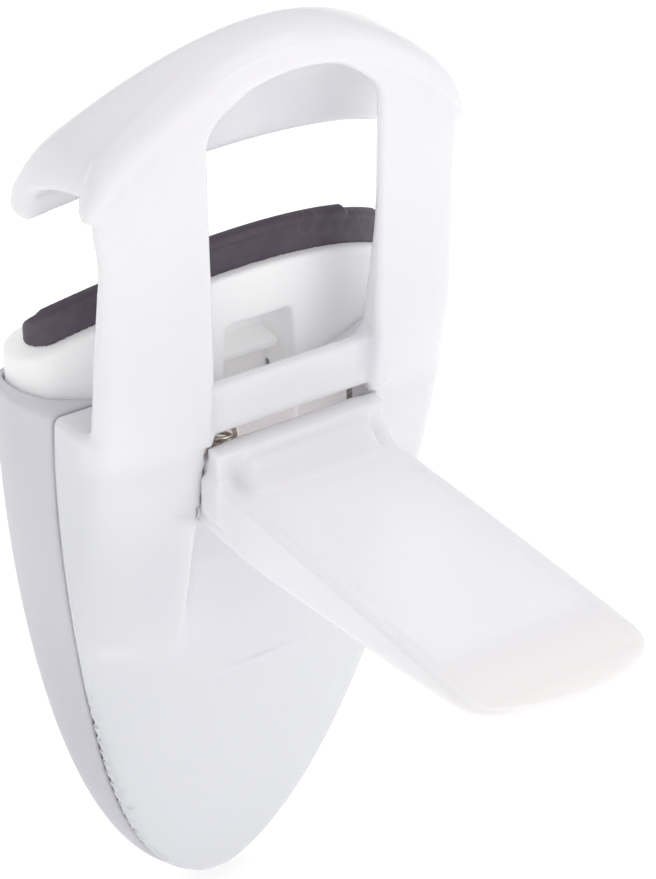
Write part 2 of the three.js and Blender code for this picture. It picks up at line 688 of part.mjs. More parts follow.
const STEEL = 0xb9b4ac;
const pinEnd = hatchHalfWidth + bearingWall - 0.5;
add('hinge_pin', geometryOf(rod('x', pinRadius, -pinEnd, pinEnd, hingeY, hingeZ)), STEEL, 0.3, 1);
for (const [label, side] of [['left', -1], ['right', 1]]) {
  const [w0, w1] = [side * (armHalfWidth + GAP), side * (hatchHalfWidth - GAP)].sort((a, b) => a - b);
  const hole = rod('x', pinRadius + 0.1, -MANY, MANY, hingeY, hingeZ);
  const washer = rod('x', barrelRadius - 0.8, w0, w1, hingeY, hingeZ).subtract(hole);
  add(`arm_washer_${label}`, geometryOf(washer), 0xe4e2de, 0.6);

  const stopFrontY = jawFrontY + jawCrown * stopPinX ** 2 - stopPinProud;
  const stopBackY = stopFrontY + jawThickness + 2 * stopPinProud;
  const stop = rod('y', stopPinRadius, stopFrontY, stopBackY, side * stopPinX, stopPinZ);
  add(`jaw_stop_pin_${label}`, geometryOf(stop), STEEL, 0.3, 1);

  const x = side * springX;
  const headZ = shelfZ - shelfThickness - GAP;
  const rodHead = rod('z', 2 * rodRadius, headZ - 1.8, headZ, x, springY);
  const guide = rod('z', rodRadius, headZ - 0.5, rodTopZ, x, springY).add(rodHead);
  add(`guide_rod_${label}`, geometryOf(guide), STEEL, 0.3, 1);

  const seatTop = shelfZ + GAP + washerThickness;
  const seatHole = rod('z', rodRadius + 0.3, -MANY, MANY, x, springY);
  const seat = rod('z', springRadius + springWire, shelfZ + GAP, seatTop, x, springY, 24).subtract(seatHole);
  add(`spring_seat_${label}`, geometryOf(seat), STEEL, 0.4, 1);

  const springLength = springPocketTopZ - GAP - seatTop - GAP;
  const spring = coil(springRadius, springLength, springTurns, springWire);
  add(`jaw_spring_${label}`, spring.translate(x, springY, seatTop + GAP), STEEL, 0.3, 1);

  screws.forEach(([screwX, screwZ], row) => {
    const shank = rod('y', screwRadius, screwTipY(screwX, screwZ), screwSeatY + 1, side * screwX, screwZ);
    const headFrom = screwSeatY + GAP;
    let head = rod('y', screwHeadRadius, headFrom, headFrom + screwHeadHeight, side * screwX, screwZ);
    for (const turn of [0, 1]) {
      const [a, b] = turn ? [1.7, 0.4] : [0.4, 1.7];
      head = head.subtract(block(side * screwX - a, side * screwX + a, headFrom + 1.2, headFrom + 9,
        screwZ - b, screwZ + b));
    }
    add(`housing_screw_${row ? 'lower' : 'upper'}_${label}`, geometryOf(shank.add(head)), STEEL, 0.35, 1);
  });
}

const returnSpring = coil(returnSpringRadius, returnSpringLength, returnSpringTurns, returnSpringWire);
returnSpring.translate(returnSpringX, returnSpringY, returnSpringZ);
add('arm_return_spring', returnSpring, STEEL, 0.3, 1);

export default model;
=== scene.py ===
"""Looks of a clamp-on door latch: a milky front frame, a white housing, a sprung jaw and a folding arm.

Sizes are in millimetres until a mesh is made; meshes are in metres. +Z is up and -Y is the front.
The origin is the middle of the crossbar's front face. A moulding is the zero level of a field:
a function of X, Y and Z that is about the distance to the skin, and negative inside the plastic.
"""

import logging
from dataclasses import dataclass, field
from enum import Enum
from typing import Callable

import bpy
import numpy as np
from mathutils import Matrix, Vector

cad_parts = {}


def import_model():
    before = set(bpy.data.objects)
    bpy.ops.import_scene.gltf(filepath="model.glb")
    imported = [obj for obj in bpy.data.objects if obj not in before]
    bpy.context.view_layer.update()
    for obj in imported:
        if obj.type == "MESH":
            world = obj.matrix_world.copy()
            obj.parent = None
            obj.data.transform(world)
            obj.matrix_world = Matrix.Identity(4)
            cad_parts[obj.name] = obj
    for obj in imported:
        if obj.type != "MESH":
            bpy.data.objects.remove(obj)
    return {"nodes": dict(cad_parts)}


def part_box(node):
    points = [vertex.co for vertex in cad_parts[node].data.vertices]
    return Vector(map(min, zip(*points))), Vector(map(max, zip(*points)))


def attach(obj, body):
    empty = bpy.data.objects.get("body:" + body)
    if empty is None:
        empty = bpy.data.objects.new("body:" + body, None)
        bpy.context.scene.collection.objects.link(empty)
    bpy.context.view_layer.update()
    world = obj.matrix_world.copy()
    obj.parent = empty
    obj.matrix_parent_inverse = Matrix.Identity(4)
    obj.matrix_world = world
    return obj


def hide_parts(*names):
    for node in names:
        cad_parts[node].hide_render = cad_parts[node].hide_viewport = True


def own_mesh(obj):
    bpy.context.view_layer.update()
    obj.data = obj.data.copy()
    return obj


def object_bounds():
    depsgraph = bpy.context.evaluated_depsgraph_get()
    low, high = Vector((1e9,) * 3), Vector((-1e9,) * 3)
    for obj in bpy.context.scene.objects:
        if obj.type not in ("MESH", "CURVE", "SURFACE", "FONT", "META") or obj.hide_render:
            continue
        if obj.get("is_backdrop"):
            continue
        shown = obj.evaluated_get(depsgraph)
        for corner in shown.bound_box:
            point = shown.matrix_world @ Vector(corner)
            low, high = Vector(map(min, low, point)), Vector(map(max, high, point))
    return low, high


LOG = logging.getLogger("door_latch")
MM = 0.001
Array = np.ndarray
Field = Callable[[Array, Array, Array], Array]


# ---------------------------------------------------------------- arithmetic on fields
def ease(t: Array) -> Array:
    """The smooth step 3t^2 - 2t^3 of a value held between 0 and 1."""
    t = np.clip(t, 0.0, 1.0)
    return t * t * (3.0 - 2.0 * t)


def both(a: Array, b: Array, fillet: float = 0.01) -> Array:
    """What two fields share: the larger value, plus (fillet - |a - b|)^2 / (4 fillet) near the edge.

    Args:
        a: First field.
        b: Second field.
        fillet: Width of the rounding along the edge where they meet.

    Returns:
        The field of the shared solid.
    """
    near = np.maximum(fillet - np.abs(a - b), 0.0)
    return np.maximum(a, b) + near * near / (4.0 * fillet)


def either(a: Array, b: Array, fillet: float = 0.01) -> Array:
    """Two solids joined, with a fillet of that width in the corner between them."""
    return -both(-a, -b, fillet)


def without(a: Array, b: Array, fillet: float = 0.01) -> Array:
    """The first solid with the second cut out of it, its new edges rounded by the fillet."""
    return both(a, -b, fillet)


def evened(rule: Field, x: Array, y: Array, z: Array) -> Array:
    """A rule divided by the length of its own gradient, which makes it about a distance.

    Args:
        rule: Any smooth function that is zero on the skin.
        x: X of the points.
        y: Y of the points.
        z: Z of the points.

    Returns:
        rule / |grad rule|, with the gradient taken by small steps.
    """
    step = 0.02
    here = rule(x, y, z)
    slope = ((rule(x + step, y, z) - here) ** 2 + (rule(x, y + step, z) - here) ** 2
             + (rule(x, y, z + step) - here) ** 2)
    return here / np.maximum(np.sqrt(slope) / step, 0.004)


def slab(x: Array, low: float, high: float) -> Array:
    """The field of the space between two parallel planes."""
    return np.abs(x - (low + high) / 2.0) - (high - low) / 2.0


def block(p: tuple[Array, Array, Array], spans: tuple, fillet: float = 0.01) -> Array:
    """The field of a box.

    Args:
        p: X, Y and Z of the points.
        spans: (low, high) along X, Y and Z.
        fillet: Width of the rounding of its edges.

    Returns:
        The largest of the three slabs' fields.
    """
    walls = [slab(c, *span) for c, span in zip(p, spans)]
    return both(both(walls[0], walls[1], fillet), walls[2], fillet)


def under_arch(x: Array, z: Array, top: float, arch: float) -> Array:
    """The field of all that lies under a curved top, Z = top - arch X^2, evened by its slope."""
    return (z - top + arch * x * x) / np.sqrt(1 + (2 * arch * x) ** 2)


def post(a: Array, b: Array, radius: float) -> Array:
    """The field of an endless round bar: distance from its axis, less its radius."""
    return np.hypot(a, b) - radius


class Profile:
    """A closed smooth outline in a plane, as a table of signed distances read by bilinear blending.

    The outline is a Catmull-Rom curve through its points. A place is inside where a ray from it
    crosses the outline an odd number of times.
    """

    cell = 0.25
    margin = 14.0

    def __init__(self, points: list[tuple[float, float]], smoothness: int = 8) -> None:
        """Works out the table.

        Args:
            points: The outline's points, in order round it.
            smoothness: Number of chords between two points.
        """
        p = np.array(points, float)
        t = np.linspace(0.0, 1.0, smoothness, endpoint=False)[:, None, None]
        p0, p1, p2, p3 = np.roll(p, 1, 0), p, np.roll(p, -1, 0), np.roll(p, -2, 0)
        curve = 0.5 * (2 * p1 + (p2 - p0) * t + (2 * p0 - 5 * p1 + 4 * p2 - p3) * t ** 2
                       + (3 * p1 - p0 - 3 * p2 + p3) * t ** 3)
        a = curve.transpose(1, 0, 2).reshape(-1, 2)
        b = np.roll(a, -1, 0)
        self.low = a.min(0) - self.margin
        counts = np.ceil((a.max(0) + self.margin - self.low) / self.cell).astype(int) + 1
        u = self.low[0] + self.cell * np.arange(counts[0])[:, None, None]
        v = self.low[1] + self.cell * np.arange(counts[1])[None, :, None]
        run = b - a
        squared = np.maximum((run ** 2).sum(1), 1e-9)
        along = np.clip(((u - a[:, 0]) * run[:, 0] + (v - a[:, 1]) * run[:, 1]) / squared, 0.0, 1.0)
        gap = np.hypot(u - a[:, 0] - along * run[:, 0], v - a[:, 1] - along * run[:, 1]).min(2)
        spans = (a[:, 1] > v) != (b[:, 1] > v)
        rise = np.where(np.abs(run[:, 1]) < 1e-9, 1e-9, run[:, 1])
        hits = spans & (u < a[:, 0] + (v - a[:, 1]) * run[:, 0] / rise)
        self.table = np.where(hits.sum(2) % 2 == 1, -gap, gap)

    def at(self, u: Array, v: Array) -> Array:
        """Signed distance at places in the plane.

        Args:
            u: First coordinate.
            v: Second coordinate.

        Returns:
            Distance to the outline, negative inside it, held at the table's edge beyond it.
        """
        su = np.clip((u - self.low[0]) / self.cell, 0, self.table.shape[0] - 1.001)
        sv = np.clip((v - self.low[1]) / self.cell, 0, self.table.shape[1] - 1.001)
        i, j = su.astype(int), sv.astype(int)
        fu, fv = su - i, sv - j
        t = self.table
        return ((t[i, j] * (1 - fu) + t[i + 1, j] * fu) * (1 - fv)
                + (t[i, j + 1] * (1 - fu) + t[i + 1, j + 1] * fu) * fv)


# ---------------------------------------------------------------- meshes
def skin(rule: Field, low: tuple, high: tuple, pitch: float) -> tuple[Array, Array]:
    """The zero level of a field as a net of four-sided faces.

    Every lattice cell that the skin passes through gets one vertex, at the mean of the places
    where the skin crosses the cell's edges. Every crossed edge joins its four cells in a face.
    Each vertex is then moved halfway to the mean of its faces' middles, which evens the net, and
    along the field's gradient, by field / gradient, onto the skin; this is done four times.

    Args:
        rule: The field.
        low: Lowest corner of the lattice.
        high: Highest corner of the lattice.
        pitch: Distance between lattice points.

    Returns:
        Vertices (n, 3) and faces (m, 4).
    """
    axes = [np.arange(a, b + pitch, pitch) for a, b in zip(low, high)]
    shape = tuple(len(a) for a in axes)
    values = np.broadcast_to(rule(*np.ix_(*axes)), shape)
    inside = values < 0
    quads, places = [], []
    for axis in range(3):
        first = tuple(slice(0, -1) if i == axis else slice(None) for i in range(3))
        second = tuple(slice(1, None) if i == axis else slice(None) for i in range(3))
        crossed = inside[first] != inside[second]
        v0, v1 = values[first][crossed], values[second][crossed]
        edge = np.argwhere(crossed)
        place = edge.astype(float)
        place[:, axis] += v0 / (v0 - v1)
        b, c = (axis + 1) % 3, (axis + 2) % 3
        around = np.zeros((4, 3), int)
        around[1, b] = around[2, b] = around[2, c] = around[3, c] = -1
        cells = edge[:, None, :] + around[None]
        ids = np.ravel_multi_index(np.moveaxis(cells, 2, 0), shape)
        ids[v0 > 0] = ids[v0 > 0][:, ::-1]
        quads.append(ids)
        places.append(place)
    quads = np.concatenate(quads)
    places = np.repeat(np.concatenate(places), 4, 0)
    _, index = np.unique(quads.ravel(), return_inverse=True)
    counts = np.bincount(index)
    points = np.stack([np.bincount(index, places[:, i]) / counts for i in range(3)], 1)
    points = points * pitch + np.array([a[0] for a in axes])
    step = 0.05
    for _ in range(4):
        middles = np.repeat(points[index.reshape(-1, 4)].mean(1), 4, 0)
        evener = np.stack([np.bincount(index, middles[:, i]) / counts for i in range(3)], 1)
        points = (points + evener) / 2.0
        x, y, z = points.T
        here = rule(x, y, z)
        slope = np.stack([rule(x + step, y, z) - rule(x - step, y, z),
                          rule(x, y + step, z) - rule(x, y - step, z),
                          rule(x, y, z + step) - rule(x, y, z - step)], 1) / (2 * step)
        size = np.maximum((slope ** 2).sum(1), 0.05)
        move = -slope * (here / size)[:, None]
        points = points + np.clip(move, -pitch / 3, pitch / 3)
    return points, index.reshape(-1, 4)


def capped_rings(rings: int, sides: int) -> Array:
    """Faces that join rings of points in a row, with a fan over each end round one more point.

    Args:
        rings: Number of rings.
        sides: Number of points in a ring, an even number.

    Returns:
        Four-sided faces. The first end's middle point follows the rings, and the last end's is next.
    """
    row, col = np.meshgrid(np.arange(rings - 1), np.arange(sides), indexing="ij")
    nxt = (col + 1) % sides
    faces = np.stack([row * sides + col, row * sides + nxt, (row + 1) * sides + nxt,
                      (row + 1) * sides + col], -1).reshape(-1, 4)
    i = np.arange(0, sides, 2)
    last = (rings - 1) * sides
    hub = np.full_like(i, rings * sides)
    start = np.stack([hub, (i + 2) % sides, i + 1, i], 1)
    finish = np.stack([hub + 1, last + i, last + i + 1, last + (i + 2) % sides], 1)
    return np.concatenate([faces, start, finish])


def tube(path: Array, radius: Array, sides: int = 12) -> tuple[Array, Array]:
    """A round bar along a path: point + radius (n cos a + b sin a), closed by a fan at each end.

    Args:
        path: Centreline (n, 3).
        radius: Radius at each point of the path.
        sides: Number of faces round it.

    Returns:
        Vertices and faces, four-sided along the bar and over the ends.
    """
    along = np.gradient(path, axis=0)
    along /= np.linalg.norm(along, axis=1, keepdims=True)
    side = np.cross(along, np.array([0.31, 0.17, 0.93]))
    side /= np.linalg.norm(side, axis=1, keepdims=True)
    other = np.cross(along, side)
    angle = np.linspace(0, 2 * np.pi, sides, endpoint=False)
    ring = np.cos(angle)[None, :, None] * side[:, None] + np.sin(angle)[None, :, None] * other[:, None]
    body = (path[:, None] + radius[:, None, None] * ring).reshape(-1, 3)
    return np.concatenate([body, path[:1], path[-1:]]), capped_rings(len(path), sides)


def turned(profile: list[tuple[float, float]], axis: str, centre: tuple,
           sides: int = 40) -> tuple[Array, Array]:
    """A body turned on a lathe: radius r at station s becomes (r cos a, r sin a, s) on its axis.

    Args:
        profile: (station, radius) pairs from one end to the other, both ends with a small radius.
        axis: "x", "y" or "z", the axis that it is turned about.
        centre: Where the axis runs and its station 0 lies.
        sides: Number of faces round it, an even number.

    Returns:
        Vertices and four-sided faces.
    """
    stations = np.array(profile, float)
    path = np.zeros((len(stations), 3))
    path[:, 2] = stations[:, 0]
    angle = np.linspace(0, 2 * np.pi, sides, endpoint=False)
    ring = np.stack([np.cos(angle), np.sin(angle), np.zeros(sides)], 1)
    body = (path[:, None] + stations[:, 1][:, None, None] * ring[None]).reshape(-1, 3)
    points = np.concatenate([body, path[:1], path[-1:]])
    order = {"x": [2, 0, 1], "y": [1, 2, 0], "z": [0, 1, 2]}[axis]
    return points[:, order] + np.array(centre), capped_rings(len(stations), sides)


@dataclass
class Piece:
    """A finished piece: its name, its mesh, its finish, and what it rides on and stands for."""

    name: str
    shape: tuple[Array, Array]
    body: str
    stands_for: tuple[str, ...]

    def make(self, material: bpy.types.Material) -> bpy.types.Object:
        """Puts the mesh into the scene, in metres, and ties it to its body.

        Args:
            material: The finish.

        Returns:
            The new object.
        """
        points, faces = self.shape
        mesh = bpy.data.meshes.new(self.name)
        mesh.from_pydata((points * MM).tolist(), [], faces.tolist())
        mesh.polygons.foreach_set("use_smooth", np.ones(len(faces), bool))
        mesh.materials.append(material)
        mesh.validate()
        thing = bpy.data.objects.new(self.name, mesh)
        bpy.context.scene.collection.objects.link(thing)
        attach(thing, self.body)
        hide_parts(*self.stands_for)
        LOG.info("%s: %d faces on %s", self.name, len(faces), self.body)
        return thing


# ---------------------------------------------------------------- finishes
class Plastic(Enum):
    """The kinds of moulded plastic: base colour, second tint, roughness, and share of light let in."""

    MILKY = ((0.84, 0.84, 0.875), (0.85, 0.84, 0.865), 0.2, 0.75)
    # WHITE is the housing's white plastic darkened, in part as painted shade of its sides.
    WHITE = ((0.66, 0.655, 0.705), (0.68, 0.675, 0.72), 0.36, 0.2)
    JAW = ((0.93, 0.93, 0.935), (0.92, 0.92, 0.925), 0.42, 0.15)
    INNER = ((0.80, 0.77, 0.77), (0.78, 0.75, 0.75), 0.5, 0.1)
    NYLON = ((0.82, 0.81, 0.77), (0.78, 0.77, 0.73), 0.45, 0.2)


class NodeBook:
    """A material's node tree, with short ways to add and wire its nodes."""

    def __init__(self, name: str) -> None:
        """Starts a material with a Principled shader and object coordinates."""
        self.material = bpy.data.materials.new(name)
        self.material.use_nodes = True
        self.nodes = self.material.node_tree.nodes
        self.links = self.material.node_tree.links
        self.shader = self.nodes["Principled BSDF"]
        self.place = self.nodes.new("ShaderNodeTexCoord").outputs["Object"]

    def join(self, source: bpy.types.NodeSocket, target: bpy.types.NodeSocket) -> None:
        """Wires one socket to another."""
        self.links.new(source, target)

    def noise(self, scale: float, detail: float = 3.0) -> bpy.types.NodeSocket:
        """A noise pattern on object coordinates.

        Args:
            scale: Repeats per metre.
            detail: Octaves.

        Returns:
            The noise's value socket.
        """
        node = self.nodes.new("ShaderNodeTexNoise")
        node.inputs["Scale"].default_value = scale
        node.inputs["Detail"].default_value = detail
        self.join(self.place, node.inputs["Vector"])
        return node.outputs["Fac"]

    def spread(self, source: bpy.types.NodeSocket, span: tuple, out: tuple) -> bpy.types.NodeSocket:
        """A value moved smoothly from one span to another.

        Args:
            source: Value to map.
            span: (low, high) of the value.
            out: (low, high) of the result.

        Returns:
            The mapped value's socket.
        """
        node = self.nodes.new("ShaderNodeMapRange")
        node.interpolation_type = "SMOOTHSTEP"
        for name, value in zip(("From Min", "From Max", "To Min", "To Max"), (*span, *out)):
            node.inputs[name].default_value = value
        self.join(source, node.inputs["Value"])
        return node.outputs["Result"]

    def blend(self, factor: bpy.types.NodeSocket, a: object, b: object) -> bpy.types.NodeSocket:
        """Two colours mixed by a factor; each is a tuple or a socket."""
        node = self.nodes.new("ShaderNodeMix")
        node.data_type = "RGBA"
        self.join(factor, node.inputs["Factor"])
        for socket, value in ((node.inputs[6], a), (node.inputs[7], b)):
            if isinstance(value, tuple):
                socket.default_value = (*value, 1.0)
            else:
                self.join(value, socket)
        return node.outputs[2]

    def bump(self, height: bpy.types.NodeSocket, strength: float, depth: float) -> None:
        """Raises the skin by a height pattern, to a depth in metres."""
        node = self.nodes.new("ShaderNodeBump")
        node.inputs["Strength"].default_value = strength
        node.inputs["Distance"].default_value = depth
        self.join(height, node.inputs["Height"])
        self.join(node.outputs["Normal"], self.shader.inputs["Normal"])


@dataclass(frozen=True)
class MouldedFinish:
    """Injection-moulded plastic: faint clouding, uneven gloss, and light that sinks in a little.

    The glow stands for daylight that reaches a piece through the milky shell in front of it.
    """

    name: str
    kind: Plastic
    depth: float = 0.003
    grain: float = 0.00002
    # Painted glow: (colour, start, end), a lighter colour blended in towards -Y that stands in for light
    # shining through the thin tip.
    painted_glow: tuple = ()
    # Painted shade: (colour, start, end), a darker colour blended in towards -Z that stands in for shade on
    # the lower faces.
    painted_shade: tuple = ()
    glow: float = 0.0

    def material(self) -> bpy.types.Material:
        """Builds the finish.

        Returns:
            The material. Set to (colour, start, end), the glow entry paints light growing along -Y
            and the shade entry paints shade growing along -Z, each from start to end, in metres.
        """
        colour, tint, roughness, inward = self.kind.value
        book = NodeBook(self.name)
        mixed = book.blend(book.spread(book.noise(28.0), (0.35, 0.65), (0.0, 1.0)), colour, tint)
        axes = book.nodes.new("ShaderNodeSeparateXYZ")
        book.join(book.place, axes.inputs["Vector"])
        # Painted light and shade: the Y entry paints a glow and the Z entry paints shade, blended in by
        # position.
        for socket, change in (("Y", self.painted_glow), ("Z", self.painted_shade)):
            if change:
                tone, start, end = change
                mixed = book.blend(book.spread(axes.outputs[socket], (end, start), (1.0, 0.0)), mixed, tone)
        book.join(mixed, book.shader.inputs["Base Color"])
        gloss = book.spread(book.noise(140.0, 4.0), (0.3, 0.7), (roughness - 0.03, roughness + 0.05))
        book.join(gloss, book.shader.inputs["Roughness"])
        if self.glow:
            book.join(mixed, book.shader.inputs["Emission Color"])
            book.shader.inputs["Emission Strength"].default_value = self.glow
        book.shader.inputs["Subsurface Weight"].default_value = inward
        book.shader.inputs["Subsurface Radius"].default_value = (1.0, 0.92, 0.88)
        book.shader.inputs["Subsurface Scale"].default_value = self.depth
        book.shader.inputs["IOR"].default_value = 1.5
        book.bump(book.noise(900.0, 2.0), 0.25, self.grain)
        return book.material


@dataclass(frozen=True)
class RubberFinish:
    """Soft grey-purple rubber with a fine bloom, a scatter of dust and a faint ejector ring."""

    name: str
    face: tuple = (0.072, 0.052, 0.078)
    worn: tuple = (0.096, 0.074, 0.102)
    dust: tuple = (0.75, 0.74, 0.76)
    ring_centre: tuple = (0.016, 0.0, 0.0285)
    ring_radius: float = 0.0028

    def material(self) -> bpy.types.Material:
        """Builds the finish.

        Returns:
            The material, with the ring as a narrow band of distance from its centre.
        """
        book = NodeBook(self.name)
        wear = book.spread(book.noise(60.0, 5.0), (0.35, 0.7), (0.0, 1.0))
        mixed = book.blend(wear, self.face, self.worn)
        specks = book.nodes.new("ShaderNodeTexVoronoi")
        specks.inputs["Scale"].default_value = 260.0
        specks.inputs["Randomness"].default_value = 1.0
        book.join(book.place, specks.inputs["Vector"])
        near = book.spread(specks.outputs["Distance"], (0.05, 0.085), (1.0, 0.0))
        rare = book.spread(book.noise(170.0, 1.0), (0.60, 0.66), (0.0, 1.0))
        both_of = book.nodes.new("ShaderNodeMath")
        both_of.operation = "MULTIPLY"
        book.join(near, both_of.inputs[0])
        book.join(rare, both_of.inputs[1])
        mixed = book.blend(both_of.outputs[0], mixed, self.dust)
        flat = book.nodes.new("ShaderNodeVectorMath")
        flat.operation = "MULTIPLY"
        flat.inputs[1].default_value = (1.0, 0.0, 1.0)
        book.join(book.place, flat.inputs[0])
        reach = book.nodes.new("ShaderNodeVectorMath")
        reach.operation = "DISTANCE"
        reach.inputs[1].default_value = self.ring_centre
        book.join(flat.outputs["Vector"], reach.inputs[0])
        off = book.nodes.new("ShaderNodeMath")
        off.operation = "SUBTRACT"
        off.inputs[1].default_value = self.ring_radius
        book.join(reach.outputs["Value"], off.inputs[0])
        size = book.nodes.new("ShaderNodeMath")
        size.operation = "ABSOLUTE"
        book.join(off.outputs[0], size.inputs[0])
        ring = book.spread(size.outputs[0], (0.00008, 0.0002), (0.3, 0.0))
        book.join(book.blend(ring, mixed, (0.2, 0.17, 0.2)), book.shader.inputs["Base Color"])
        gloss = book.spread(book.noise(300.0, 3.0), (0.3, 0.7), (0.52, 0.68))
        book.join(gloss, book.shader.inputs["Roughness"])
        book.bump(book.noise(1500.0, 3.0), 0.5, 0.00004)
        return book.material


@dataclass(frozen=True)
class MetalFinish:
    """Drawn or plated steel: warm grey, with fine streaks in its gloss."""

    name: str
    colour: tuple
    roughness: float

    def material(self) -> bpy.types.Material:
        """Builds the finish and returns its material."""
        book = NodeBook(self.name)
        dark = tuple(0.8 * c for c in self.colour)
        mixed = book.blend(book.spread(book.noise(500.0, 4.0), (0.35, 0.65), (0.0, 1.0)), self.colour, dark)
        book.join(mixed, book.shader.inputs["Base Color"])
        book.shader.inputs["Metallic"].default_value = 1.0
        gloss = book.spread(book.noise(900.0, 4.0), (0.3, 0.7), (self.roughness, self.roughness + 0.14))
        book.join(gloss, book.shader.inputs["Roughness"])
        book.bump(book.noise(2500.0, 3.0), 0.3, 0.00002)
        return book.material


# ---------------------------------------------------------------- surfaces that the pieces share
@dataclass(frozen=True)
class Shield:
    """The outline that the front frame and the rear housing share."""

    half_width: float = 53.7
    widest_z: float = -21.5
    top_z: float = -4.0
    tip_z: float = -181.5
    rear_y: float = 49.0
    waist: float = 0.915
    wall: float = 2.2
    front_y: float = -5.6
    crown: float = 0.0036
    lean_z: float = 6.0
    lean: float = 0.19
    lean_growth: float = 0.0003

    def front(self, x: Array, z: Array) -> Array:
        """Y of the front face: it leans back in a parabola below lean_z, and is crowned by X squared."""
        fade = 3.0
        below = fade * np.logaddexp(0.0, (self.lean_z - z) / fade)
        return self.front_y + self.lean * below + self.lean_growth * below ** 2 + self.crown * x * x

    def half(self, z: Array) -> Array:
        """Half-width at a height: an ellipse about the widest height."""
        share = (z - self.widest_z) / (self.widest_z - self.tip_z)
        return self.half_width * np.sqrt(np.maximum(1.0 - share * share, 1e-6))

    def parting(self, z: Array) -> Array:
        """Y of the line where the frame meets the housing."""
        front = self.front(np.zeros(1), z)
        share = 0.5 - 0.2 * ease((self.top_z - z) / 106.0)
        return front + share * (self.rear_y - front)

    def cover(self, x: Array, y: Array, z: Array) -> Array:
        """Field of the cover's outside, |x / w|^n + ((parting - y) / depth)^2 = 1, squarer at the top."""
        def rule(x: Array, y: Array, z: Array) -> Array:
            """The superellipse rule, not yet evened to a distance."""
            power = 9.0 + 17.0 * ease((z + 80.0) / 76.0)
            across = np.minimum(np.abs(x) / (self.waist * self.half(z)), 1.6)
            parting = self.parting(z)
            deep = np.maximum(parting - y, 0.0) / np.maximum(parting - self.front(x, z), 0.5)
            return across ** power + deep ** 2 - 1.0
        return evened(rule, x, y, z)

    def back(self, x: Array, y: Array, z: Array) -> Array:
        """Field of the housing's outside, which swells from the waist and rounds off behind."""
        def rule(x: Array, y: Array, z: Array) -> Array:
            """Distance across from the swelling side, not yet evened."""
            parting = self.parting(z)
            limb = parting + 0.6 * (self.rear_y - parting)
            share = np.clip((y - parting) / (limb - parting), 0.0, 1.0)
            past = np.clip((y - limb) / (self.rear_y - limb), 0.0, 1.0)
            swell = self.waist + (1.0 - self.waist) * np.sin(share * np.pi / 2) - 0.035 * past ** 2
            return np.abs(x) - swell * self.half(z)
        return both(evened(rule, x, y, z), y - self.rear_y, 7.0)


@dataclass(frozen=True)
class JawCurve:
    """The curved bar, seen in plan, that the jaw, its pad and the housing's mouth follow."""

    middle_y: float = 20.0
    crown: float = 0.00844
    arch: float = 0.008
    mouth_radius: float = 6.5
    mouth_reach: float = 50.9

    def bar(self, x: Array, y: Array, radius: float, reach: float) -> Array:
        """Field of a bar with round ends along the curve Y = middle + crown X^2.

        Args:
            x: X of the points.
            y: Y of the points.
            radius: Half its thickness.
            reach: Half its length over the round ends.

        Returns:
            Distance from the curve's line, less the radius.
        """
        off = (y - self.middle_y - self.crown * x * x) / np.sqrt(1 + (2 * self.crown * x) ** 2)
        past = np.maximum(np.abs(x) - (reach - radius), 0.0)
        return np.hypot(past, off) - radius

    def mouth(self, x: Array, y: Array) -> Array:
        """Field of the opening that the jaw slides in, seen in plan."""
        return self.bar(x, y, self.mouth_radius, self.mouth_reach)

    def below(self, x: Array, z: Array, top: float) -> Array:
        """Field of all that lies under the jaw's arched top."""
        return under_arch(x, z, top, self.arch)


SHIELD = Shield()
JAW = JawCurve()
HINGE = (6.2, -29.0)
PIN_BORE = 1.35


